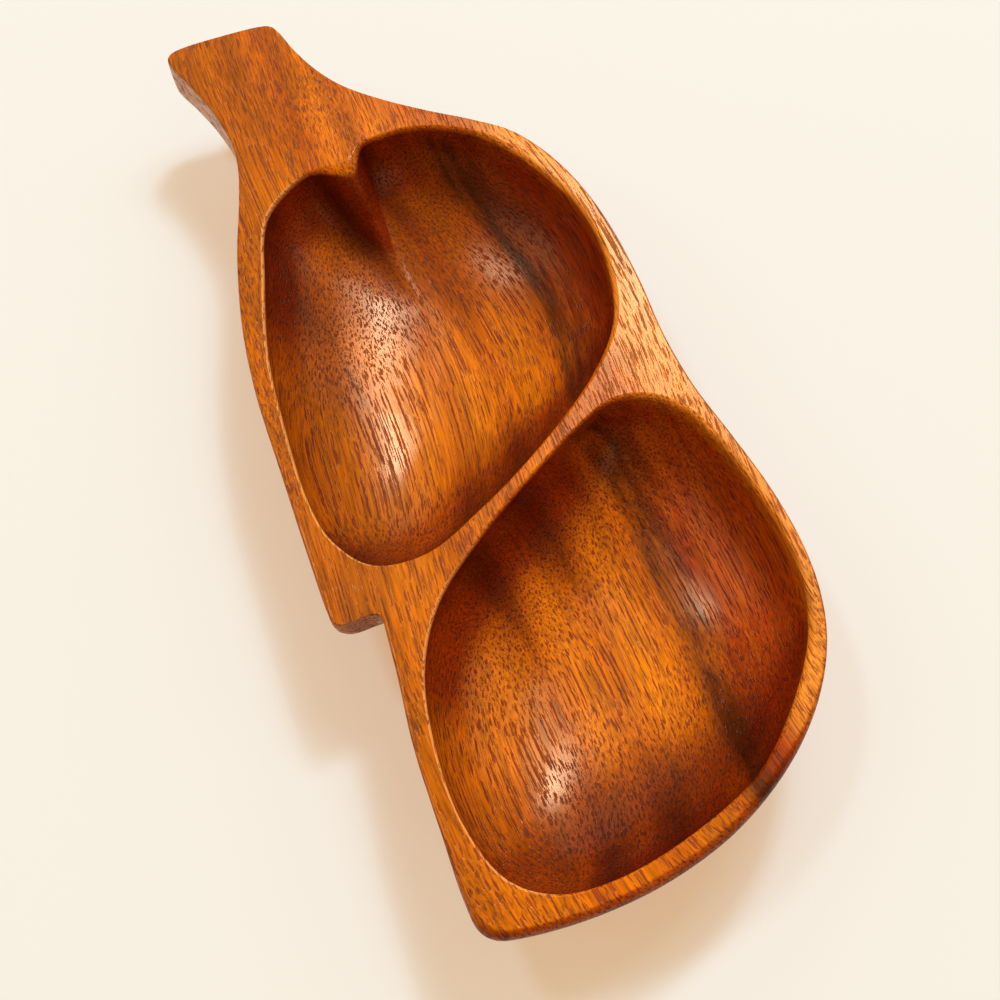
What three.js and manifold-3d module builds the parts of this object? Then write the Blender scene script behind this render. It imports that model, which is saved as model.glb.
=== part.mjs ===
// A divided serving dish, carved from one leaf-shaped plank of open-grained hardwood.
// Two bowls share a flat rim, a narrow wall divides them, and the leaf's stem is the handle.
// Units are millimetres. +Y runs from the leaf's tip to its stem, +Z is up, and z = 0 is the table.

import * as THREE from 'three';
import { mergeVertices } from 'three/addons/utils/BufferGeometryUtils.js';
import Module from 'manifold-3d';

const wasm = await Module();
wasm.setup();

// Depths and thicknesses
const BOWL_DEPTH = 31;
const FLOOR_THICKNESS = 9;
const TIP_THICKNESS = 9.5;
const STEM_THICKNESS = 15;

// Rounding of the edges, and how far the side of the plank is drawn in at its lower edge
const OUTER_EDGE_RADIUS = 0.9;
const LEAF_UNDERCUT = 4.5;
const STEM_UNDERCUT = 1.2;
const SIDE_ROUNDNESS = 2.1;

// The hull under the bowls curves down to a flat foot that runs along the keel
const FOOT_HALF_WIDTH = 31;
const HULL_ROUNDNESS = 1.75;
const BOWL_ROUNDNESS = 2.05;

// The bowls' lips are tight at the left and on the wall between the bowls. They broaden along x
// towards the right side, and over the ridge.
const LIP_RADIUS = { left: 1.2, right: 2.2, addedOnRidge: 3 };
const LIP_BROADENS = [10, 55];

// The ridge that dents the stem end of the upper bowl, as at the base of a leaf. It slants into
// the bowl below the rim, and its right flank is the steeper one.
const RIDGE_AT = new THREE.Vector2(-6.5, 99.7);
const RIDGE_REACH = { atRim: 7, below: 16 };
const RIDGE_FULL_DEPTH = 14;
const RIDGE_HALF_WIDTH = { left: 16, right: 11 };
const RIDGE_SHARPNESS = 1.3;
const RIDGE_FADE = { from: 18, to: 40 };

// The leaf seen from above, clockwise from the left corner of the stem
const LEAF_OUTLINE = [
  [-47.7, 162.2], [-46, 165], [-42, 166], [-28, 165.9], [-12.5, 164.5], [-8.9, 163.2],
  [-7.1, 159.6], [-4.8, 149.5], [-0.8, 138], [5, 127.7], [15, 116.8], [28, 105.5], [41.5, 95],
  [51.5, 85.7], [58.6, 73], [63.5, 57], [65.8, 38], [65.5, 14], [63.4, -10], [63.8, -30],
  [66.6, -50], [69, -70], [69.3, -89], [66.9, -105.5], [61, -121], [49.5, -136.5], [34, -149],
  [12, -159.5], [-12, -164.5], [-34, -164.8], [-53, -162.2], [-61, -159.6], [-64.3, -155.5],
  [-64.9, -147], [-63.6, -128], [-61.4, -102], [-57.8, -81], [-55.8, -67], [-55.4, -63.2],
  [-57, -61.2], [-62, -60.7], [-67.6, -60.4], [-69.1, -59.2], [-69.4, -54], [-68.4, -36],
  [-66.4, -7], [-64, 24], [-60, 47.5], [-52.5, 74], [-44.2, 96], [-39.9, 110], [-38.9, 121],
  [-40.9, 136.5], [-44.3, 149.5],
];

// The edges of the two bowls at the rim, clockwise
const UPPER_BOWL_EDGE = [
  [-62, -20], [-59.8, 8], [-55.7, 34.5], [-47.2, 62], [-38.2, 84.5], [-26, 94], [-17.5, 97],
  [-11, 98.7], [-5, 100], [1.5, 101], [8, 101.3], [17, 100.8], [28.5, 96.8], [42.2, 86.3],
  [53, 67.9], [59.7, 44.8], [58.6, 24.2], [51.3, 3], [36.6, -12.8], [10.3, -29.9], [-16, -42.6],
  [-36, -49.2], [-52, -46], [-60, -34],
];
const LOWER_BOWL_EDGE = [
  [37.2, -24.8], [47.8, -27.6], [56.3, -35.5], [61, -48], [64.2, -67], [65.4, -85], [63, -103],
  [56.4, -118], [42.4, -134.2], [24, -148], [0, -155.6], [-24, -158.4], [-41, -155.6],
  [-52, -146.5], [-57, -128], [-55.8, -105], [-50, -83], [-38.5, -65.5], [-20, -51.7],
  [4, -38.2], [23, -29.2],
];

// The line where the hull leaves the underside of the plank, clockwise
const HULL_LINE = [
  [-42, 91], [-28, 107], [-9, 113.5], [10, 111], [26, 104], [41, 93], [54.5, 77], [62, 56], [64.6, 34],
  [64.2, 12], [61.5, -10], [60.5, -27], [64.5, -46], [67.6, -68], [68, -88], [65.6, -104.5],
  [59.6, -120], [48.4, -135.2], [33, -147.6], [11.5, -158], [-12, -162.8], [-36, -162], [-54, -153],
  [-61.2, -136], [-60, -108], [-55, -82], [-51.5, -64], [-56.5, -48], [-63, -34], [-65, -8],
  [-62.6, 23], [-58.6, 46], [-51, 71],
];

// Where along y the body's side turns into the stem's steeper side
const STEM_STARTS = [92, 128];

// Lines that the rings of each loft are drawn towards: [x, y] of its tip end and its stem end
const MIDRIB = { tip: [0, -110], bend: [0, 60], stem: [-26, 145] };
const KEEL = { tip: [3, -97], stem: [-2, 42] };
const UPPER_FLOOR_LINE = { tip: [-12, 10], stem: [4, 46] };
const LOWER_FLOOR_LINE = { tip: [-2, -92], stem: [14, -76] };

const DISH_HEIGHT = BOWL_DEPTH + FLOOR_THICKNESS;
const CUTTER_OVERSHOOT = 6;
const LEAF_STEPS = 3;
const BOWL_STEPS = 4;
const HULL_STEPS = 3;

const WOOD = new THREE.MeshStandardMaterial({ color: 0xb0601f, roughness: 0.38, metalness: 0 });

// A smooth closed loop through the points, with the same number of steps in each span.
function smoothLoop(points, steps) {
  const through = points.map(([x, y]) => new THREE.Vector3(x, y, 0));
  const curve = new THREE.CatmullRomCurve3(through, true, 'centripetal');
  const loop = curve.getPoints(points.length * steps).slice(0, -1);
  return loop.map((p) => new THREE.Vector2(p.x, p.y));
}

// The point on a straight line that lies nearest to p.
function nearestOn(line, p) {
  const start = new THREE.Vector2(...line.tip);
  const run = new THREE.Vector2(...line.stem).sub(start);
  const share = p.clone().sub(start).dot(run) / run.lengthSq();
  return start.addScaledVector(run, THREE.MathUtils.clamp(share, 0, 1));
}

// The point of the midrib level with p. The midrib leaves the middle to run into the stem.
function levelOnMidrib(p) {
  const y = THREE.MathUtils.clamp(p.y, MIDRIB.tip[1], MIDRIB.stem[1]);
  const lean = THREE.MathUtils.smoothstep(y, MIDRIB.bend[1], MIDRIB.stem[1]);
  return new THREE.Vector2(THREE.MathUtils.lerp(MIDRIB.tip[0], MIDRIB.stem[0], lean), y);
}

// How far a side has drawn in, from 0 at the top to 1 at the bottom, for a share of its height.
function drawnIn(share, roundness) {
  return 1 - (1 - share ** roundness) ** (1 / roundness);
}

// A closed solid through rings of equal count, with a flat cap on the first and on the last.
function loft(rings, capFaces) {
  const count = rings[0].length;
  const faces = [];
  for (let ring = 0; ring + 1 < rings.length; ring += 1) {
    for (let i = 0; i < count; i += 1) {
      const a = ring * count + i;
      const b = ring * count + ((i + 1) % count);
      faces.push(a, b, a + count, b, b + count, a + count);
    }
  }
  const lastStart = (rings.length - 1) * count;
  const points = [...rings.flat(), middleOf(rings[0]), middleOf(rings[rings.length - 1])];
  for (const [a, b, c] of capFaces(rings[0], points.length - 2)) {
    faces.push(a, c, b);
  }
  const lastMiddle = points.length - 1 - lastStart;
  for (const [a, b, c] of capFaces(rings[rings.length - 1], lastMiddle)) {
    faces.push(lastStart + a, lastStart + b, lastStart + c);
  }
  const geometry = new THREE.BufferGeometry();
  geometry.setFromPoints(points);
  geometry.setIndex(faces);
  return toSolid(geometry);
}

function middleOf(ring) {
  const sum = ring.reduce((total, p) => total.add(p), new THREE.Vector3());
  return sum.divideScalar(ring.length);
}

// A cap of triangles that meet in the ring's middle, for an outline that bulges all round.
function fanCap(ring, middle) {
  return ring.map((p, i) => [i, (i + 1) % ring.length, middle]);
}

// A cap of triangles between the ring's own points, for an outline with hollows in it.
function hollowedCap(ring) {
  const flat = ring.map((p) => new THREE.Vector2(p.x, p.y));
  const clockwise = THREE.ShapeUtils.isClockWise(flat);
  const faces = THREE.ShapeUtils.triangulateShape(flat, []);
  const sameWay = ([a, b, c]) => THREE.ShapeUtils.isClockWise([flat[a], flat[b], flat[c]]) === clockwise;
  return faces.map((face) => (sameWay(face) ? face : [face[0], face[2], face[1]]));
}

function toSolid(geometry) {
  const merged = mergeVertices(geometry, 1e-4);
  const vertProperties = new Float32Array(merged.attributes.position.array);
  const triVerts = new Uint32Array(merged.index.array);
  return new wasm.Manifold(new wasm.Mesh({ numProp: 3, vertProperties, triVerts }));
}

function toGeometry(solid) {
  const mesh = solid.getMesh();
  const geometry = new THREE.BufferGeometry();
  geometry.setAttribute('position', new THREE.BufferAttribute(mesh.vertProperties, mesh.numProp));
  geometry.setIndex(new THREE.BufferAttribute(mesh.triVerts, 1));
  geometry.computeVertexNormals();
  return geometry;
}

// A ring at height z, each point moved towards its target by the distance that inset(p) gives.
function ringTowards(loop, targetOf, inset, z) {
  return loop.map((p) => {
    const inward = targetOf(p).sub(p).normalize();
    const moved = p.clone().addScaledVector(inward, inset(p));
    return new THREE.Vector3(moved.x, moved.y, typeof z === 'function' ? z(p) : z);
  });
}

// The plank: a flat top with a rounded edge, and sides drawn in under it. It thickens to the stem.
function plank() {
  const loop = smoothLoop(LEAF_OUTLINE, LEAF_STEPS);
  const ys = loop.map((p) => p.y);
  const tipY = Math.min(...ys);
  const stemY = Math.max(...ys);
  const thickness = (p) => THREE.MathUtils.mapLinear(p.y, tipY, stemY, TIP_THICKNESS, STEM_THICKNESS);
  const undercut = (p) => {
    const alongStem = THREE.MathUtils.smoothstep(p.y, ...STEM_STARTS);
    return THREE.MathUtils.lerp(LEAF_UNDERCUT, STEM_UNDERCUT, alongStem);
  };
  const rings = [];
  for (const share of [0, 0.33, 0.67]) {
    const angle = (share * Math.PI) / 2;
    const inset = OUTER_EDGE_RADIUS * (1 - Math.sin(angle));
    const z = DISH_HEIGHT - OUTER_EDGE_RADIUS * (1 - Math.cos(angle));
    rings.push(ringTowards(loop, levelOnMidrib, () => inset, z));
  }
  for (const share of [0, 0.35, 0.62, 0.82, 0.94, 1]) {
    const drop = (p) => OUTER_EDGE_RADIUS + share * (thickness(p) - OUTER_EDGE_RADIUS);
    const inset = (p) => undercut(p) * drawnIn(share, SIDE_ROUNDNESS);
    rings.push(ringTowards(loop, levelOnMidrib, inset, (p) => DISH_HEIGHT - drop(p)));
  }
  return loft(rings, hollowedCap);
}

// The hull: the wood under the bowls, from inside the plank down to the flat foot.
function hull() {
  const loop = smoothLoop(HULL_LINE, HULL_STEPS);
  const towardsKeel = (p) => nearestOn(KEEL, p);
  const width = (p) => p.distanceTo(towardsKeel(p)) - FOOT_HALF_WIDTH;
  const rings = [];
  for (const share of [0.15, 0.32, 0.48, 0.62, 0.74, 0.84, 0.92, 0.97, 1]) {
    const inset = (p) => width(p) * drawnIn(share, HULL_ROUNDNESS);
    rings.push(ringTowards(loop, towardsKeel, inset, DISH_HEIGHT * (1 - share)));
  }
  return loft(rings, fanCap);
}

// How much of the ridge there is at a point of the upper bowl's edge, from 0 to 1.
function ridgeSwell(p) {
  const halfWidth = p.x < RIDGE_AT.x ? RIDGE_HALF_WIDTH.left : RIDGE_HALF_WIDTH.right;
  const across = Math.min(p.distanceTo(RIDGE_AT) / halfWidth, 1);
  return (0.5 + 0.5 * Math.cos(Math.PI * across)) ** RIDGE_SHARPNESS;
}

// How far the ridge's crest reaches into the bowl at a depth below the rim.
function ridgeReach(depth) {
  const below = 2 * THREE.MathUtils.smoothstep(depth, -RIDGE_FULL_DEPTH, RIDGE_FULL_DEPTH) - 1;
  const fade = 1 - THREE.MathUtils.smoothstep(depth, RIDGE_FADE.from, RIDGE_FADE.to);
  return THREE.MathUtils.lerp(RIDGE_REACH.atRim, RIDGE_REACH.below, below) * fade;
}

// The room inside a bowl: a rounded lip, steep sides and a floor that curves up to them.
function bowl(edge, floorLine, swell) {
  const loop = smoothLoop(edge, BOWL_STEPS);
  const towardsFloor = (p) => nearestOn(floorLine, p);
  const width = (p) => p.distanceTo(towardsFloor(p));
  const reach = (p, depth) => swell(p) * ridgeReach(depth);
  const lip = (p) => {
    const broad = THREE.MathUtils.smoothstep(p.x, ...LIP_BROADENS);
    const onEdge = THREE.MathUtils.lerp(LIP_RADIUS.left, LIP_RADIUS.right, broad);
    return onEdge + LIP_RADIUS.addedOnRidge * swell(p);
  };
  const rings = [];
  const above = DISH_HEIGHT + CUTTER_OVERSHOOT;
  rings.push(ringTowards(loop, towardsFloor, (p) => reach(p, 0) - lip(p), above));
  for (const share of [0, 0.33, 0.67]) {
    const angle = (share * Math.PI) / 2;
    const depth = (p) => lip(p) * (1 - Math.cos(angle));
    const inset = (p) => reach(p, depth(p)) - lip(p) * (1 - Math.sin(angle));
    rings.push(ringTowards(loop, towardsFloor, inset, (p) => DISH_HEIGHT - depth(p)));
  }
  for (const share of [0, 0.2, 0.39, 0.56, 0.7, 0.81, 0.89, 0.95, 0.985]) {
    const depth = (p) => THREE.MathUtils.lerp(lip(p), BOWL_DEPTH, share);
    const inset = (p) => {
      const stand = reach(p, depth(p));
      return stand + (width(p) - stand) * drawnIn(share, BOWL_ROUNDNESS);
    };
    rings.push(ringTowards(loop, towardsFloor, inset, (p) => DISH_HEIGHT - depth(p)));
  }
  const nearFloor = (p) => width(p) * 0.93;
  rings.push(ringTowards(loop, towardsFloor, nearFloor, DISH_HEIGHT - BOWL_DEPTH));
  return loft(rings, fanCap);
}

const noRidge = () => 0;
const upperBowl = bowl(UPPER_BOWL_EDGE, UPPER_FLOOR_LINE, ridgeSwell);
const lowerBowl = bowl(LOWER_BOWL_EDGE, LOWER_FLOOR_LINE, noRidge);
const carved = plank().add(hull()).subtract(upperBowl).subtract(lowerBowl);

const geometry = toGeometry(carved);
geometry.computeBoundingBox();
const middle = geometry.boundingBox.getCenter(new THREE.Vector3());
geometry.translate(-middle.x, -middle.y, 0);

const dish = new THREE.Group();
const carvedDish = new THREE.Mesh(geometry, WOOD);
carvedDish.name = 'carved_dish';
dish.add(carvedDish);

export default dish;
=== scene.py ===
import math

import bmesh
import bpy
from mathutils import Euler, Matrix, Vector


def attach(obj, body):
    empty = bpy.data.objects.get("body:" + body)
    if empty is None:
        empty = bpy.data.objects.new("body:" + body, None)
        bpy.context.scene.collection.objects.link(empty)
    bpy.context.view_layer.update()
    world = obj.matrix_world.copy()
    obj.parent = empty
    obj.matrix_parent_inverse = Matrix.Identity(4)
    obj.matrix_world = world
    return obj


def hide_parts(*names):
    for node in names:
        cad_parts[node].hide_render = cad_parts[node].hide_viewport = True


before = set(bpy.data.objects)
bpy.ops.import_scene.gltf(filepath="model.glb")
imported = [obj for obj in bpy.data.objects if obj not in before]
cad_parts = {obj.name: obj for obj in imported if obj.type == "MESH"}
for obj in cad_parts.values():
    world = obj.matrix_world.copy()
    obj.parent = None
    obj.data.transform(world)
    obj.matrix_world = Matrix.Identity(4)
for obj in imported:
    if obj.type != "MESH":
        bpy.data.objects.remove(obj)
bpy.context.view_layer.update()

# The blank
# The whole dish is one piece of reddish, open-pored hardwood, carved from a single plank.
# It is first sawn to the outline of a leaf, with the stem for a handle and a notch in the left
# side, and its underside is rounded over, from a thin rim down to a flat foot.
MM = 0.001
BOWL_DEPTH = 31
FLOOR_THICKNESS = 9
DISH_HEIGHT = BOWL_DEPTH + FLOOR_THICKNESS
TIP_THICKNESS = 9.5
STEM_THICKNESS = 15
OUTER_EDGE_RADIUS = 0.9
TIP_EDGE_RADIUS = 3
TIP_ROUNDED = (-125, -152)
LEAF_UNDERCUT = 4.5
STEM_UNDERCUT = 1.2
STEM_STARTS = (92, 128)
SIDE_ROUNDNESS = 2.1
FOOT_HALF_WIDTH = 31
HULL_ROUNDNESS = 1.75

LEAF_OUTLINE = [
    (-47.7, 162.2), (-46, 165), (-42, 166), (-28, 165.9), (-12.5, 164.5), (-8.9, 163.2),
    (-7.1, 159.6), (-4.8, 149.5), (-0.8, 138), (5, 127.7), (15, 116.8), (28, 105.5), (41.5, 95),
    (51.5, 85.7), (58.6, 73), (63.5, 57), (65.8, 38), (65.5, 14), (63.4, -10), (63.8, -30),
    (66.6, -50), (69, -70), (69.3, -89), (66.9, -105.5), (61, -121), (49.5, -136.5), (34, -149),
    (12, -159.5), (-12, -164.5), (-34, -164.8), (-53, -162.2), (-61, -159.6), (-64.3, -155.5),
    (-64.9, -147), (-63.6, -128), (-61.4, -102), (-57.8, -81), (-55.8, -67), (-55.4, -63.2),
    (-57, -61.2), (-62, -60.7), (-67.6, -60.4), (-69.1, -59.2), (-69.4, -54), (-68.4, -36),
    (-66.4, -7), (-64, 24), (-60, 47.5), (-52.5, 74), (-44.2, 96), (-39.9, 110), (-38.9, 121),
    (-40.9, 136.5), (-44.3, 149.5),
]
HULL_LINE = [
    (-42, 91), (-28, 107), (-9, 113.5), (10, 111), (26, 104), (41, 93), (54.5, 77), (62, 56),
    (64.6, 34), (64.2, 12), (61.5, -10), (60.5, -27), (64.5, -46), (67.6, -68), (68, -88),
    (65.6, -104.5), (59.6, -120), (48.4, -135.2), (33, -147.6), (11.5, -158), (-12, -162.8),
    (-36, -162), (-54, -153), (-61.2, -136), (-60, -108), (-55, -82), (-51.5, -64),
    (-56.5, -48), (-63, -34), (-65, -8), (-62.6, 23), (-58.6, 46), (-51, 71),
]
MIDRIB_TIP_Y = -110
MIDRIB_BEND_Y = 60
MIDRIB_STEM = Vector((-26, 145))
KEEL = (Vector((3, -97)), Vector((-2, 42)))

OUTLINE_SPACING = 1.4
STEPS_BETWEEN_POINTS = 40
EDGE_STEPS = 5
SIDE_STEPS = 12
HULL_STEPS = 24
HULL_FIRST_STEP = 3


def smoothstep(value, low, high):
    """From 0 at low to 1 at high, which may lie on either side of low."""
    share = min(max((value - low) / (high - low), 0), 1)
    return share * share * (3 - 2 * share)


def smooth_loop(points, spacing):
    """An evenly spaced closed line that curves through the points."""
    corners = [Vector(point) for point in points]
    count = len(corners)
    fine = []
    for i in range(count):
        p0, p1, p2, p3 = (corners[(i + k) % count] for k in (-1, 0, 1, 2))
        gap0, gap1, gap2 = ((b - a).length ** 0.5 for a, b in ((p0, p1), (p1, p2), (p2, p3)))
        leave = ((p1 - p0) / gap0 - (p2 - p0) / (gap0 + gap1) + (p2 - p1) / gap1) * gap1
        arrive = ((p2 - p1) / gap1 - (p3 - p1) / (gap1 + gap2) + (p3 - p2) / gap2) * gap1
        for step in range(STEPS_BETWEEN_POINTS):
            t = step / STEPS_BETWEEN_POINTS
            fine.append(
                p1 + t * leave + t * t * (3 * (p2 - p1) - 2 * leave - arrive)
                + t ** 3 * (2 * (p1 - p2) + leave + arrive)
            )
    lengths = [(fine[(i + 1) % len(fine)] - fine[i]).length for i in range(len(fine))]
    total = sum(lengths)
    wanted = round(total / spacing)
    loop, walked, i = [], 0.0, 0
    for number in range(wanted):
        target = total * number / wanted
        while walked + lengths[i] < target:
            walked += lengths[i]
            i += 1
        share = (target - walked) / lengths[i]
        loop.append(fine[i].lerp(fine[(i + 1) % len(fine)], share))
    return loop


def nearest_on(line, p):
    run = line[1] - line[0]
    share = (p - line[0]).dot(run) / run.length_squared
    return line[0] + run * min(max(share, 0), 1)


def level_on_midrib(p):
    y = min(max(p.y, MIDRIB_TIP_Y), MIDRIB_STEM.y)
    return Vector((MIDRIB_STEM.x * smoothstep(y, MIDRIB_BEND_Y, MIDRIB_STEM.y), y))


def drawn_in(share, roundness):
    """How far in a rounded side has come at a share of its depth, both from 0 to 1."""
    return 1 - (1 - share ** roundness) ** (1 / roundness)


def ring_towards(loop, target_of, inset, height):
    """The loop at a height, each point moved towards its target, in metres."""
    ring = []
    for p in loop:
        inward = (target_of(p) - p).normalized()
        moved = p + inward * inset(p)
        ring.append(Vector((moved.x, moved.y, height(p))) * MM)
    return ring


def extrude_through(name, rings):
    """A circle is laid on the first ring, extruded to each next ring and closed at both ends."""
    bpy.ops.object.select_all(action="DESELECT")
    bpy.ops.mesh.primitive_circle_add(vertices=len(rings[0]), radius=rings[0][0].length)
    solid = bpy.context.object
    solid.name = name
    bpy.ops.object.mode_set(mode="EDIT")
    mesh = bmesh.from_edit_mesh(solid.data)
    place = mesh.verts.layers.int.new("place")
    for number, vertex in enumerate(mesh.verts):
        vertex[place] = number
    for number, ring in enumerate(rings):
        if number:
            bpy.ops.mesh.extrude_edges_move()
            mesh = bmesh.from_edit_mesh(solid.data)
            place = mesh.verts.layers.int["place"]
        for vertex in mesh.verts:
            if vertex.select:
                vertex.co = ring[vertex[place]]
        bmesh.update_edit_mesh(solid.data)
    bpy.ops.mesh.edge_face_add()
    bpy.ops.mesh.select_all(action="DESELECT")
    bpy.ops.mesh.select_mode(type="EDGE")
    bpy.ops.mesh.select_non_manifold()
    bpy.ops.mesh.edge_face_add()
    bpy.ops.mesh.select_all(action="SELECT")
    bpy.ops.mesh.normals_make_consistent(inside=False)
    bpy.ops.mesh.select_mode(type="VERT")
    bpy.ops.object.mode_set(mode="OBJECT")
    return solid


def edge_radius(p):
    """The plank's upper edge is crisp all round, and rounded over at the leaf's tip."""
    rounded = smoothstep(p.y, *TIP_ROUNDED)
    return OUTER_EDGE_RADIUS + (TIP_EDGE_RADIUS - OUTER_EDGE_RADIUS) * rounded


def undercut(p):
    return LEAF_UNDERCUT + (STEM_UNDERCUT - LEAF_UNDERCUT) * smoothstep(p.y, *STEM_STARTS)


def plank_thickness(p):
    share = (p.y - leaf_low) / (leaf_high - leaf_low)
    return TIP_THICKNESS + (STEM_THICKNESS - TIP_THICKNESS) * share


leaf_loop = smooth_loop(LEAF_OUTLINE, OUTLINE_SPACING)
leaf_low = min(p.y for p in leaf_loop)
leaf_high = max(p.y for p in leaf_loop)
plank_rings = []
for step in range(EDGE_STEPS):
    angle = step / EDGE_STEPS * math.pi / 2
    plank_rings.append(
        ring_towards(
            leaf_loop,
            level_on_midrib,
            lambda p: edge_radius(p) * (1 - math.sin(angle)),
            lambda p: DISH_HEIGHT - edge_radius(p) * (1 - math.cos(angle)),
        )
    )
for step in range(SIDE_STEPS + 1):
    share = math.sin(step / SIDE_STEPS * math.pi / 2)
    plank_rings.append(
        ring_towards(
            leaf_loop,
            level_on_midrib,
            lambda p: undercut(p) * drawn_in(share, SIDE_ROUNDNESS),
            lambda p: DISH_HEIGHT - edge_radius(p)
            - share * (plank_thickness(p) - edge_radius(p)),
        )
    )
plank = extrude_through("plank", plank_rings)

# The hull starts a few steps down, inside the plank, so that their tops don't coincide.
hull_loop = smooth_loop(HULL_LINE, OUTLINE_SPACING)
hull_rings = []
for step in range(HULL_FIRST_STEP, HULL_STEPS + 1):
    share = math.sin(step / HULL_STEPS * math.pi / 2)
    hull_rings.append(
        ring_towards(
            hull_loop,
            lambda p: nearest_on(KEEL, p),
            lambda p: ((p - nearest_on(KEEL, p)).length - FOOT_HALF_WIDTH)
            * drawn_in(share, HULL_ROUNDNESS),
            lambda p: DISH_HEIGHT * (1 - share),
        )
    )
hull = extrude_through("hull", hull_rings)


def combine(solid, other, operation):
    """Joins the other solid to this one, or cuts it away from it."""
    bpy.ops.object.select_all(action="DESELECT")
    solid.select_set(True)
    bpy.context.view_layer.objects.active = solid
    both = solid.modifiers.new("combine", "BOOLEAN")
    both.operation = operation
    both.solver = "MANIFOLD"
    both.object = other
    bpy.ops.object.modifier_apply(modifier="combine")
    bpy.data.objects.remove(other)


combine(plank, hull, "UNION")
dish = plank
dish.name = "dish"

# The bowls
# Two hollows are gouged out of the blank, with a narrow wall left between them. The upper one
# has a ridge at its stem end, like the base of a leaf, that fades out towards the floor.
BOWL_ROUNDNESS = 2.05
LIP_RADIUS_LEFT = 1.2
LIP_RADIUS_RIGHT = 2.2
LIP_BROADENS = (10, 55)
LIP_ADDED_ON_RIDGE = 3
RIDGE_AT = Vector((-6.5, 99.7))
RIDGE_REACH_AT_RIM = 7
RIDGE_REACH_BELOW = 16
RIDGE_FULL_DEPTH = 14
RIDGE_LEFT_HALF_WIDTH = 16
RIDGE_RIGHT_HALF_WIDTH = 11
RIDGE_SHARPNESS = 1.3
RIDGE_FADE = (18, 40)
CUTTER_OVERSHOOT = 6
LIP_RISE = 0.06
UPPER_BOWL_EDGE = [
    (-62, -20), (-59.8, 8), (-55.7, 34.5), (-47.2, 62), (-38.2, 84.5), (-26, 94), (-17.5, 97),
    (-11, 98.7), (-5, 100), (1.5, 101), (8, 101.3), (17, 100.8), (28.5, 96.8), (42.2, 86.3),
    (53, 67.9), (59.7, 44.8), (58.6, 24.2), (51.3, 3), (36.6, -12.8), (10.3, -29.9),
    (-16, -42.6), (-36, -49.2), (-52, -46), (-60, -34),
]
LOWER_BOWL_EDGE = [
    (37.2, -24.8), (47.8, -27.6), (56.3, -35.5), (61, -48), (64.2, -67), (65.4, -85), (63, -103),
    (56.4, -118), (42.4, -134.2), (24, -148), (0, -155.6), (-24, -158.4), (-41, -155.6),
    (-52, -146.5), (-57, -128), (-55.8, -105), (-50, -83), (-38.5, -65.5), (-20, -51.7),
    (4, -38.2), (23, -29.2),
]
UPPER_FLOOR_LINE = (Vector((-12, 10)), Vector((4, 46)))
LOWER_FLOOR_LINE = (Vector((-2, -92)), Vector((14, -76)))

BOWL_EDGE_SPACING = 1.3
LIP_STEPS = 8
WALL_STEPS = 36
SMOOTH_UP_TO = math.radians(35)


def ridge_swell(p):
    """How much of the ridge there is at a point of the upper bowl's edge, from 0 to 1."""
    half_width = RIDGE_LEFT_HALF_WIDTH if p.x < RIDGE_AT.x else RIDGE_RIGHT_HALF_WIDTH
    across = min((p - RIDGE_AT).length / half_width, 1)
    return (0.5 + 0.5 * math.cos(math.pi * across)) ** RIDGE_SHARPNESS


def no_ridge(p):
    return 0


def bowl_cutter(name, edge, floor_line, swell):
    """The room inside a bowl: a rounded lip, steep sides and a floor that curves up to them."""
    loop = smooth_loop(edge, BOWL_EDGE_SPACING)

    def reaches_floor(p):
        return nearest_on(floor_line, p)

    def reach(p, depth):
        below = smoothstep(depth, -RIDGE_FULL_DEPTH, RIDGE_FULL_DEPTH) * 2 - 1
        stands = RIDGE_REACH_AT_RIM + (RIDGE_REACH_BELOW - RIDGE_REACH_AT_RIM) * below
        return stands * swell(p) * (1 - smoothstep(depth, *RIDGE_FADE))

    def lip(p):
        broad = smoothstep(p.x, *LIP_BROADENS)
        on_edge = LIP_RADIUS_LEFT + (LIP_RADIUS_RIGHT - LIP_RADIUS_LEFT) * broad
        return on_edge + LIP_ADDED_ON_RIDGE * swell(p)

    rings = [
        ring_towards(
            loop,
            reaches_floor,
            lambda p: reach(p, 0) - lip(p),
            lambda p: DISH_HEIGHT + CUTTER_OVERSHOOT,
        )
    ]
    for step in range(LIP_STEPS):
        angle = step / LIP_STEPS * math.pi / 2
        rounded = 1 - math.cos(angle)
        rings.append(
            ring_towards(
                loop,
                reaches_floor,
                lambda p: reach(p, lip(p) * rounded) - lip(p) * (1 - math.sin(angle)),
                lambda p: DISH_HEIGHT + LIP_RISE - lip(p) * rounded,
            )
        )
    for step in range(WALL_STEPS):
        share = math.sin(step / WALL_STEPS * math.pi / 2)

        def depth(p):
            start = lip(p) - LIP_RISE
            return start + share * (BOWL_DEPTH - start)

        def inset(p):
            stand = reach(p, depth(p))
            width = (p - reaches_floor(p)).length
            return stand + (width - stand) * drawn_in(share, BOWL_ROUNDNESS)

        rings.append(ring_towards(loop, reaches_floor, inset, lambda p: DISH_HEIGHT - depth(p)))
    return extrude_through(name, rings)


upper_cutter = bowl_cutter("upper_cutter", UPPER_BOWL_EDGE, UPPER_FLOOR_LINE, ridge_swell)
lower_cutter = bowl_cutter("lower_cutter", LOWER_BOWL_EDGE, LOWER_FLOOR_LINE, no_ridge)
combine(dish, upper_cutter, "DIFFERENCE")
combine(dish, lower_cutter, "DIFFERENCE")

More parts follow.
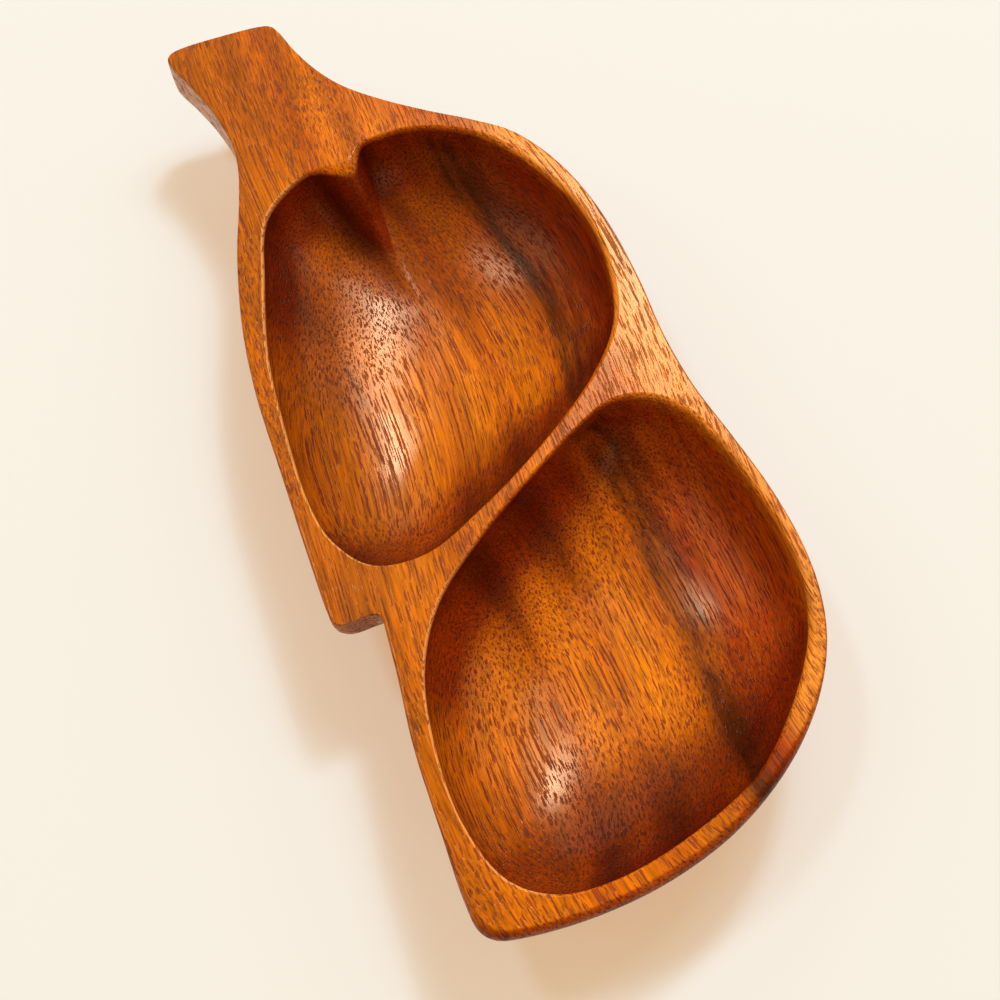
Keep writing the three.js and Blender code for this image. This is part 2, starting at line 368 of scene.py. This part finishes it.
middle_x = (max(p.x for p in leaf_loop) + min(p.x for p in leaf_loop)) / 2
middle_y = (leaf_high + leaf_low) / 2
dish.location = Vector((-middle_x, -middle_y, 0)) * MM
bpy.ops.object.transform_apply(location=True, rotation=False, scale=False)
bpy.ops.object.shade_smooth_by_angle(angle=SMOOTH_UP_TO)
flat_top = dish.modifiers.new("flat_top", "WEIGHTED_NORMAL")
flat_top.keep_sharp = True
bpy.ops.object.modifier_apply(modifier="flat_top")

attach(dish, "root")
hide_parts("carved_dish")

# The wood
# Oiled to a satin shine. The grain runs the length of the leaf, a little clockwise of it and
# a little downhill. Open pores show as dark dashes along it, and as dots where the bowls cut
# across it. A dark streak of heartwood runs down the right side.
GRAIN_TURN = 8
GRAIN_DIVE = 6

wood = bpy.data.materials.new("oiled_hardwood")
wood.use_nodes = True
tree = wood.node_tree
tree.nodes.clear()


def add_node(kind, inputs=None, **settings):
    """A node of the tree in hand, with its settings, and its inputs as values or as links."""
    made = tree.nodes.new(kind)
    for name, value in settings.items():
        setattr(made, name, value)
    for key, value in (inputs or {}).items():
        if isinstance(value, bpy.types.NodeSocket):
            tree.links.new(value, made.inputs[key])
        else:
            made.inputs[key].default_value = value
    return made


def calc(operation, a, b=0.0, c=0.0):
    return add_node("ShaderNodeMath", {0: a, 1: b, 2: c}, operation=operation).outputs[0]


def between(value, start, end, low=0.0, high=1.0, soft=False):
    """Low where the value is at start or before it, high from end on, with soft turns or not."""
    made = add_node(
        "ShaderNodeMapRange",
        {"Value": value, "From Min": start, "From Max": end, "To Min": low, "To Max": high},
        interpolation_type="SMOOTHSTEP" if soft else "LINEAR",
    )
    return made.outputs[0]


def stretched(vector, x, y, z):
    """The vector measured in cells of x, y and z millimetres."""
    scaled = add_node(
        "ShaderNodeVectorMath", {0: vector, 1: (1 / x, 1 / y, 1 / z)}, operation="MULTIPLY"
    )
    return scaled.outputs[0]


def noise(vector, detail=2.0, roughness=0.5, offset=0.0):
    moved = add_node("ShaderNodeVectorMath", {0: vector, 1: (offset, offset, offset)})
    return add_node(
        "ShaderNodeTexNoise",
        {"Vector": moved.outputs[0], "Scale": 1.0, "Detail": detail, "Roughness": roughness},
    )


def ramp(value, stops, interpolation="LINEAR"):
    made = add_node("ShaderNodeValToRGB", {"Fac": value})
    made.color_ramp.interpolation = interpolation
    elements = made.color_ramp.elements
    while len(elements) < len(stops):
        elements.new(0.5)
    for element, (position, colour) in zip(elements, stops):
        element.position = position
        element.color = (*colour, 1)
    return made.outputs["Color"]


def grey_ramp(value, *stops, interpolation="LINEAR"):
    shades = [(position, (shade, shade, shade)) for position, shade in stops]
    return ramp(value, shades, interpolation)


def mix(kind, factor, a, b):
    a, b = (side if isinstance(side, bpy.types.NodeSocket) else (*side, 1) for side in (a, b))
    made = add_node(
        "ShaderNodeMix", {"Factor": factor, 6: a, 7: b}, data_type="RGBA", blend_type=kind
    )
    return made.outputs[2]


def srgb(red, green, blue):
    """A colour as it looks on the object, from 0 to 255, as the shader's own numbers."""
    levels = [level / 255 for level in (red, green, blue)]
    return tuple(v / 12.92 if v <= 0.04045 else ((v + 0.055) / 1.055) ** 2.4 for v in levels)


texture_place = add_node("ShaderNodeTexCoord")
along_grain = (math.radians(GRAIN_DIVE), 0, math.radians(GRAIN_TURN))
in_grain = add_node(
    "ShaderNodeMapping",
    {
        "Vector": texture_place.outputs["Object"],
        "Scale": (1 / MM, 1 / MM, 1 / MM),
        "Rotation": along_grain,
    },
).outputs[0]
# The fibres wander as the tree grew: a few millimetres sideways, and more up and down, so that
# they dive in and out of a flat face.
WANDER = (10, 0, 30)
HALF_BACK = (-5, 0, -15)
wander = noise(stretched(in_grain, 55, 110, 55), detail=1.0).outputs["Color"]
wander = add_node(
    "ShaderNodeVectorMath", {0: wander, 1: WANDER, 2: HALF_BACK}, operation="MULTIPLY_ADD"
).outputs[0]
fibre = add_node("ShaderNodeVectorMath", {0: in_grain, 1: wander}).outputs[0]
split = add_node("ShaderNodeSeparateXYZ", {0: fibre})
across, along, height = (split.outputs[axis] for axis in "XYZ")
level = add_node("ShaderNodeSeparateXYZ", {0: in_grain}).outputs["Z"]

# The growth layers lean about a quarter of the way over. On the right they curve with the
# heartwood streak, and the fibres with them. Their place, here called the layer, is measured in
# mm to the right of the streak, which moves a little to the left near the tip.
STREAK_X = 45.4
STREAK_TURN = 0.03
STREAK_BEND = 0.00077
STREAK_TWIST = 0.0000075
STREAK_LEAN = 0.5
STREAK_STRAIGHT_FROM = 88.0
CURVES_ACROSS = (-60, 35)
LAYERS_WAVER = 8.0
NEAR_TIP = (-80, -120)
MOVED_AT_TIP = 3.5
bending = calc("MINIMUM", along, STREAK_STRAIGHT_FROM)
curve = calc("MULTIPLY_ADD", bending, STREAK_TWIST, STREAK_BEND)
curve = calc("MULTIPLY_ADD", bending, curve, STREAK_TURN)
curve = calc("MULTIPLY", curve, bending)
follows = between(across, *CURVES_ACROSS)
layer = calc("MULTIPLY_ADD", level, STREAK_LEAN, across)
layer = calc("SUBTRACT", calc("MULTIPLY_ADD", curve, follows, layer), STREAK_X)
fibre = add_node("ShaderNodeCombineXYZ", {0: layer, 1: along, 2: height}).outputs[0]
uneven = noise(stretched(fibre, 6, 45, 25), detail=3.0, roughness=0.6, offset=17).outputs[0]
layer = calc("ADD", layer, calc("MULTIPLY_ADD", uneven, LAYERS_WAVER, -LAYERS_WAVER / 2))
tipwards = between(along, *NEAR_TIP)
layer = calc("MULTIPLY_ADD", tipwards, MOVED_AT_TIP, layer)

TAN = srgb(184, 97, 8)
GOLDEN = srgb(210, 114, 6)
ORANGE = srgb(194, 96, 4)
STREAK = srgb(104, 40, 5)
DEEP = srgb(136, 48, 6)
REDDISH = srgb(178, 68, 8)
DARK_LAYERS = (STREAK, DEEP, REDDISH)
LAYER_COLOURS = [
    (-106, TAN), (-76, TAN), (-64, GOLDEN), (-56, GOLDEN), (-47, ORANGE), (-38, GOLDEN),
    (-27, ORANGE), (-17, GOLDEN), (-5, ORANGE), (0, STREAK), (4, STREAK), (9, DEEP),
    (19, REDDISH), (34, REDDISH),
]
low, high = LAYER_COLOURS[0][0], LAYER_COLOURS[-1][0]
layer_share = between(layer, low, high)
stops = [((place - low) / (high - low), shade) for place, shade in LAYER_COLOURS]
body = ramp(layer_share, stops)
plain_body = ramp(layer_share, [stop for stop in stops if stop[1] not in DARK_LAYERS])

# The streak comes and goes. Near the tip it is unbroken, and only there does it reach the top of
# the plank. Well to the right of it, the top is paler.
TOP_OF_PLANK = (32 * MM, 39 * MM)
PATCHES = (0.34, 0.56)
PATCHES_FAINTEST = 0.45
PALE_TOP = (14, 30)
LIGHT = srgb(232, 143, 48)
object_height = add_node(
    "ShaderNodeSeparateXYZ", {0: texture_place.outputs["Object"]}
).outputs["Z"]
top = between(object_height, *TOP_OF_PLANK, soft=True)
shows = calc("SUBTRACT", 1.0, calc("MULTIPLY", top, calc("SUBTRACT", 1.0, tipwards)))
patchy = noise(stretched(fibre, 4, 22, 10), detail=2.0, offset=29).outputs[0]
patchy = calc("MAXIMUM", between(patchy, *PATCHES, low=PATCHES_FAINTEST), tipwards)
body = mix("MIX", calc("MULTIPLY", shows, patchy), plain_body, body)
body = mix("MIX", calc("MULTIPLY", top, between(layer, *PALE_TOP, soft=True)), body, LIGHT)

# A soft brown band runs up the middle of the stem.
BAND = (0.78, 0.7, 0.74)
BAND_LAYERS = (-76, -36)
STEM_ALONG = (80, 100)
band = grey_ramp(
    between(layer, *BAND_LAYERS), (0.0, 0), (0.35, 1), (0.65, 1), (1.0, 0), interpolation="EASE"
)
in_stem = between(along, *STEM_ALONG)
body = mix("MULTIPLY", calc("MULTIPLY", band, in_stem), body, BAND)


def pale_and_sheen_patch(body, place, radius, tint):
    """A bowl's floor is paler and more golden near its middle, partly paler wood and partly a
    painted sheen; in metres.
    """
    away = add_node(
        "ShaderNodeVectorMath",
        {0: texture_place.outputs["Object"], 1: place},
        operation="DISTANCE",
    ).outputs["Value"]
    return mix("MULTIPLY", between(away, radius, 0.0, soft=True), body, tint)


# Paler floors: partly paler wood, partly painted sheen.
body = pale_and_sheen_patch(body, place=(0.011, -0.1, 0.009), radius=0.042, tint=(1.3, 1.5, 1.4))
body = pale_and_sheen_patch(body, place=(-0.003, 0.008, 0.009), radius=0.034, tint=(1.25, 1.4, 1.35))

# Growth lines, a ribbon figure from fibres that lean one way and then the other, and strands of
# fibres that are each a little darker or paler than the next.
LINES_PER_MM_ACROSS = 0.6
LINES_PER_MM_ALONG = 0.012
lines_across = calc("MULTIPLY", layer, LINES_PER_MM_ACROSS)
lines_along = calc("MULTIPLY", along, LINES_PER_MM_ALONG)
layer_place = add_node("ShaderNodeCombineXYZ", {0: lines_across, 1: lines_along}).outputs[0]
growth = noise(layer_place, detail=3.0, roughness=0.65).outputs[0]
growth = grey_ramp(growth, (0.3, 0.6), (0.45, 0.94), (0.58, 1.0), (0.72, 0.8))
ribbon = noise(stretched(fibre, 9, 60, 12), detail=2.0).outputs[0]
ribbon = grey_ramp(ribbon, (0.3, 0.8), (0.7, 1.15))
strands = noise(stretched(fibre, 0.7, 16, 0.7), detail=2.0, roughness=0.6, offset=7).outputs[0]
strands = grey_ramp(strands, (0.3, 0.5), (0.7, 1.28))
body = mix("MULTIPLY", 0.8, body, growth)
body = mix("MULTIPLY", 1.0, body, ribbon)
body = mix("MULTIPLY", 0.8, body, strands)

# Below the lips, the steep walls are painted darker, as painted shade inside the bowls, and
# darker still where they are cut against the fibres, at the bowls' near ends, where the end grain
# also takes more oil. The red right side and the near ends on the left are spared some of it.
# Nothing of this reaches the outside, which faces down.
END_GRAIN_AND_SHADE = (0.52, 0.31, 0.4)
WALL_SHADE = (0.42, 0.16, 0.2)
BELOW_LIP = (38.8 * MM, 37.3 * MM)
FACES_UP = (-0.01, 0.04)
CUT_AGAINST_FIBRES = (0.06, 0.38)
STEEP = (0.95, 0.68)
TO_LOWER_BOWL = (25, -35)
SPARED_ON_RIGHT = (0.2, 0.75)
RED_SIDE = (-12, -3)
ON_LEFT = (-40, -60)
SPARED_ON_LEFT = 0.65
LEFT_WALLS = (-165, 60)
turned_normal = add_node(
    "ShaderNodeMapping",
    {"Vector": texture_place.outputs["Normal"], "Rotation": along_grain},
    vector_type="NORMAL",
).outputs[0]
turned_normal = add_node("ShaderNodeSeparateXYZ", {0: turned_normal})
faces_right, faces_stem, level_face = (turned_normal.outputs[axis] for axis in "XYZ")
below_lip = between(object_height, *BELOW_LIP, soft=True)
faces_up = add_node("ShaderNodeSeparateXYZ", {0: texture_place.outputs["Normal"]}).outputs["Z"]
in_bowl = calc("MULTIPLY", below_lip, between(faces_up, *FACES_UP))
end_grain = between(faces_stem, *CUT_AGAINST_FIBRES, soft=True)
# Darker end grain at the near ends: partly more oil, partly painted shade.
body = mix("MULTIPLY", calc("MULTIPLY", end_grain, in_bowl), body, END_GRAIN_AND_SHADE)
steep = calc("MULTIPLY", between(level_face, *STEEP, soft=True), in_bowl)
spared_on_right = between(along, *TO_LOWER_BOWL, *SPARED_ON_RIGHT)
red_side = between(layer, *RED_SIDE, high=spared_on_right)
on_left = between(layer, *ON_LEFT)
near_ends = grey_ramp(
    between(along, *LEFT_WALLS),
    (0.24, 1.0), (0.31, 0.0), (0.52, 0.0), (0.56, 1.0), (0.8, 1.0), (0.92, 0.0),
)
left_ends = calc("MULTIPLY", calc("MULTIPLY", on_left, near_ends), SPARED_ON_LEFT)
spared = calc("MAXIMUM", red_side, left_ends)
# Painted shade on the steep walls inside the bowls.
body = mix("MULTIPLY", calc("MULTIPLY", steep, calc("SUBTRACT", 1.0, spared)), body, WALL_SHADE)

# Some of the floors' gentle slopes are darker too. The one below the ridge carries painted shade
# from the far rim and the ridge, darkest on its left; the upper bowl's left one is darker along a
# layer, and the lower bowl's near one is simply darker.
SLOPE_SHADE_AND_TONE = (0.64, 0.5, 0.45)
FAR_SLOPE = (30, 52)
NEAR_SLOPE = (-114, -136)
LEFT_SLOPE = (-66, -74)
LEFT_SLOPE_ALONG = (2, 20)
FAR_LEFT_ADDED = 0.8
far_slope = between(along, *FAR_SLOPE, soft=True)
near_slope = between(along, *NEAR_SLOPE, soft=True)
left_slope = between(layer, *LEFT_SLOPE, soft=True)
slopes = calc("MULTIPLY", left_slope, between(along, *LEFT_SLOPE_ALONG))
slopes = calc("MAXIMUM", calc("MAXIMUM", slopes, near_slope), far_slope)
slopes = calc("MULTIPLY", slopes, calc("SUBTRACT", 1.0, steep))
# Painted shade on the slope below the ridge, and a darker tone on the other slopes.
body = mix("MULTIPLY", calc("MULTIPLY", slopes, in_bowl), body, SLOPE_SHADE_AND_TONE)
far_left_shade = calc("MULTIPLY", calc("MULTIPLY", left_slope, far_slope), in_bowl)
# More painted shade on the left of the slope below the ridge.
body = mix("MULTIPLY", calc("MULTIPLY", far_left_shade, FAR_LEFT_ADDED), body, SLOPE_SHADE_AND_TONE)

# The left lips carry a painted highlight: a paler colour where they turn towards the lamps.
LIP_HIGHLIGHT = srgb(240, 176, 112)
LIP_TURNS_RIGHT = (0.12, 0.4)
LIP_HIGHLIGHT_SHOWS = 0.55
turned_to_lamps = between(faces_right, *LIP_TURNS_RIGHT, high=LIP_HIGHLIGHT_SHOWS, soft=True)
lip = calc("MULTIPLY", calc("SUBTRACT", 1.0, below_lip), calc("MULTIPLY", turned_to_lamps, on_left))
# Painted highlight on the left lips.
body = mix("MIX", lip, body, LIP_HIGHLIGHT)

# The outer edge is painted darker round the tip, as painted shade on its rounding, and is darker
# up the right side where the streak's layers meet it. The stem's left side is a little paler, as
# a painted sheen.
EDGE_DARKENING = (0.58, 0.36, 0.3)
SIDE_SHEEN = srgb(212, 150, 96)
FACES_TIP = (-0.08, -0.5)
AT_RIGHT = (-10, 5)
FACES_RIGHT = (0.15, 0.6)
FACES_LEFT = (-0.5, -0.8)
SIDE_SHEEN_SHOWS = 0.4
round_tip = calc("MULTIPLY", between(faces_stem, *FACES_TIP, soft=True), tipwards)
up_right = calc("MULTIPLY", between(layer, *AT_RIGHT), between(faces_right, *FACES_RIGHT))
darkened_edge = calc("MAXIMUM", round_tip, up_right)
# Painted shade round the tip's edge, and a darker edge up the right side.
body = mix("MULTIPLY", calc("MULTIPLY", darkened_edge, top), body, EDGE_DARKENING)
side_sheen = between(faces_right, *FACES_LEFT, high=SIDE_SHEEN_SHOWS)
# Painted sheen on the stem's left side.
body = mix("MIX", calc("MULTIPLY", side_sheen, in_stem), body, SIDE_SHEEN)

# Two more dark layers show as broad bands up the walls, and faintly on the floors.
DARK_BANDS = (0.5, 0.36, 0.45)
BANDED_LAYERS = (-57, -17)
SLOPING = (0.98, 0.86)
BANDS_ON_FLOOR = 0.15
BANDS_ON_SLOPES = 0.85
bands = grey_ramp(
    between(layer, *BANDED_LAYERS),
    (0.0, 0), (0.25, 1), (0.5, 0), (0.75, 0.9), (1.0, 0),
    interpolation="EASE",
)
sloping = between(level_face, *SLOPING)
banded = calc("MULTIPLY", bands, calc("MULTIPLY_ADD", sloping, BANDS_ON_SLOPES, BANDS_ON_FLOOR))
body = mix("MULTIPLY", calc("MULTIPLY", banded, in_bowl), body, DARK_BANDS)

# The pores, in two sizes. Each is dark inside, rough and sunk below the surface.
PORE = (0.36, 0.13, 0.04)
PORE_SHOWS = 0.92
FINE_PORES_SHOW = 0.72
COARSE_FADE_ON_TOP = -0.12
PORE_ROUGHENS = 0.35
PORE_DEPTH = 0.2 * MM
STRANDS_STAND = 0.12
RAGGED = (0.7, 0.7, 0)
CLOSED_TO_OPEN = (0.26, 0.4)
DARK_INSIDE = 0.62
SOFT_EDGE = 0.01


def vessels(spacing, widest, length, offset):
    """Open pores: fine tubes along the fibres, each of its own width, that come and go."""
    moved = add_node("ShaderNodeVectorMath", {0: fibre, 1: (offset, offset, offset)}).outputs[0]
    moved = add_node("ShaderNodeSeparateXYZ", {0: stretched(moved, spacing, length, spacing)})
    section = add_node("ShaderNodeCombineXYZ", {0: moved.outputs["X"], 1: moved.outputs["Z"]})
    ragged = noise(stretched(fibre, spacing * 0.6, 3, spacing * 0.6), detail=1.0, offset=offset)
    section = add_node(
        "ShaderNodeVectorMath",
        {0: ragged.outputs["Color"], 1: RAGGED, 2: section.outputs[0]},
        operation="MULTIPLY_ADD",
    )
    cells = add_node(
        "ShaderNodeTexVoronoi",
        {"Vector": section.outputs[0], "Scale": 1.0, "Randomness": 1.0},
        voronoi_dimensions="2D",
    )
    own = add_node("ShaderNodeSeparateColor", {0: cells.outputs["Color"]}).outputs[0]
    stretch = noise(stretched(fibre, spacing * 1.5, length, spacing * 1.5), detail=1.0).outputs[0]
    width = calc("MULTIPLY", calc("POWER", own, 0.5), widest)
    width = calc("MULTIPLY", width, between(stretch, *CLOSED_TO_OPEN))
    inner = calc("MULTIPLY", width, DARK_INSIDE)
    outer = calc("ADD", width, SOFT_EDGE)
    return between(cells.outputs["Distance"], inner, outer, low=1.0, high=0.0, soft=True)


coarse = vessels(spacing=1.15, widest=0.37, length=26, offset=3)
coarse = calc("MULTIPLY", coarse, calc("MULTIPLY_ADD", top, COARSE_FADE_ON_TOP, 1.0))
fine = calc("MULTIPLY", vessels(spacing=0.7, widest=0.38, length=18, offset=11), FINE_PORES_SHOW)
pore = calc("MAXIMUM", coarse, fine)
colour = mix("MULTIPLY", calc("MULTIPLY", pore, PORE_SHOWS), body, PORE)

# The satin shine varies a little from place to place, and is a little warmer than the lamps.
GLOSS = (0.3, 0.7)
SATIN = (0.2, 0.27)
SHINE_TINT = (1, 0.82, 0.6, 1)
gloss = noise(stretched(in_grain, 18, 40, 18), detail=2.0, offset=5).outputs[0]
roughness = calc("ADD", between(gloss, *GLOSS, *SATIN), calc("MULTIPLY", pore, PORE_ROUGHENS))
relief = calc("SUBTRACT", calc("MULTIPLY", strands, STRANDS_STAND), pore)
pitted = add_node(
    "ShaderNodeBump", {"Height": relief, "Distance": PORE_DEPTH, "Strength": 0.6}
).outputs[0]
shader = add_node(
    "ShaderNodeBsdfPrincipled",
    {
        "Base Color": colour,
        "Roughness": roughness,
        "Normal": pitted,
        "IOR": 1.5,
        "Specular IOR Level": 0.3,
        "Specular Tint": SHINE_TINT,
    },
)
add_node("ShaderNodeOutputMaterial", {"Surface": shader.outputs[0]})
dish.data.materials.clear()
dish.data.materials.append(wood)

# The table
# A plain, pale, warm white table top, which shows only the dish's soft shadows. Looked at, or
# seen in the gloss of the wood, it glows a little, so that the shadows stay light and warm. Its
# own paint is what throws light back at the dish.
TABLE_SIZE = 4.0
TABLE_PAINT = (0.82, 0.78, 0.74, 1)
LIT_PAINT = (0.295, 0.5, 0.71, 1)
SHADOW_GLOW = (0.56, 0.32, 0.2, 1)
bpy.ops.object.select_all(action="DESELECT")
bpy.ops.mesh.primitive_plane_add(size=TABLE_SIZE)
table = bpy.context.object
table.name = "table_top"
paint = bpy.data.materials.new("warm_white_paint")
paint.use_nodes = True
tree = paint.node_tree
tree.nodes.clear()
matt = add_node("ShaderNodeBsdfDiffuse", {"Color": TABLE_PAINT})
lit = add_node("ShaderNodeBsdfDiffuse", {"Color": LIT_PAINT})
glow = add_node("ShaderNodeEmission", {"Color": SHADOW_GLOW, "Strength": 1.0})
look = add_node("ShaderNodeAddShader", {0: lit.outputs[0], 1: glow.outputs[0]})
rays = add_node("ShaderNodeLightPath")
seen = calc("MAXIMUM", rays.outputs["Is Camera Ray"], rays.outputs["Is Glossy Ray"])
both = add_node("ShaderNodeMixShader", {0: seen, 1: matt.outputs[0], 2: look.outputs[0]})
add_node("ShaderNodeOutputMaterial", {"Surface": both.outputs[0]})
table.data.materials.append(paint)

# The light
# Three soft lamps high on the far right give the long sheens in the bowls, and one on the far
# left gives the short ones. Lower, weaker ones fill in from the far side, the right, the near
# side and the left. Behind the table the camera sees a pale wall.
LAMP_DISTANCE = 6
LAMP_COLOUR = (1, 0.97, 0.86)
ROOM_COLOUR = (1, 0.65, 0.17, 1)
ROOM_STRENGTH = 0.5
WALL_PAINT = (0.92, 0.86, 0.78, 1)


def soft_lamp(name, bearing, height_angle, size, power):
    """A square lamp aimed at the dish; its bearing is clockwise from +Y, as seen from above."""
    turn, rise = math.radians(bearing), math.radians(height_angle)
    towards = Vector((0, math.cos(rise), math.sin(rise)))
    towards.rotate(Euler((0, 0, -turn)))
    bpy.ops.object.light_add(type="AREA", location=towards * LAMP_DISTANCE)
    lamp = bpy.context.object
    lamp.name = name
    lamp.data.shape = "SQUARE"
    lamp.data.size = size
    lamp.data.energy = power
    lamp.data.color = LAMP_COLOUR
    lamp.rotation_euler = towards.to_track_quat("Z", "Y").to_euler()


soft_lamp("key_lamp", bearing=41, height_angle=51, size=0.8, power=136)
soft_lamp("window_lamp", bearing=55, height_angle=53, size=1.7, power=84)
soft_lamp("far_window_lamp", bearing=31, height_angle=55, size=0.9, power=38)
soft_lamp("far_lamp", bearing=17, height_angle=32, size=2.4, power=22)
soft_lamp("right_lamp", bearing=87, height_angle=32, size=3.0, power=26)
soft_lamp("near_lamp", bearing=158, height_angle=35, size=2.6, power=14)
soft_lamp("left_lamp", bearing=-37, height_angle=61, size=0.8, power=62)
soft_lamp("low_left_lamp", bearing=-66, height_angle=42, size=2.4, power=24)
world = bpy.data.worlds.new("room")
world.use_nodes = True
tree = world.node_tree
tree.nodes.clear()
room = add_node("ShaderNodeBackground", {"Color": ROOM_COLOUR, "Strength": ROOM_STRENGTH})
wall = add_node("ShaderNodeBackground", {"Color": WALL_PAINT, "Strength": 1.0})
rays = add_node("ShaderNodeLightPath")
both = add_node(
    "ShaderNodeMixShader",
    {0: rays.outputs["Is Camera Ray"], 1: room.outputs[0], 2: wall.outputs[0]},
)
add_node("ShaderNodeOutputWorld", {"Surface": both.outputs[0]})
bpy.context.scene.world = world
bpy.context.scene.view_settings.view_transform = "Standard"

# The camera
# It looks down on the dish from in front and from the left, with the stem at the upper left, as
# in the photo. Its place, turn and lens were fitted to the photographed outline.
CAMERA_PLACE = (-0.08248, -0.21198, 0.43628)
CAMERA_TILT = 25
CAMERA_TURN = -23.6
CAMERA_LENS = 51.84
SENSOR_WIDTH = 36
NEAREST_SEEN = 0.01
bpy.ops.object.camera_add(
    location=CAMERA_PLACE,
    rotation=(math.radians(CAMERA_TILT), 0, math.radians(CAMERA_TURN)),
)
camera = bpy.context.object
camera.data.sensor_width = SENSOR_WIDTH
camera.data.lens = CAMERA_LENS
camera.data.clip_start = NEAREST_SEEN
bpy.context.scene.camera = camera
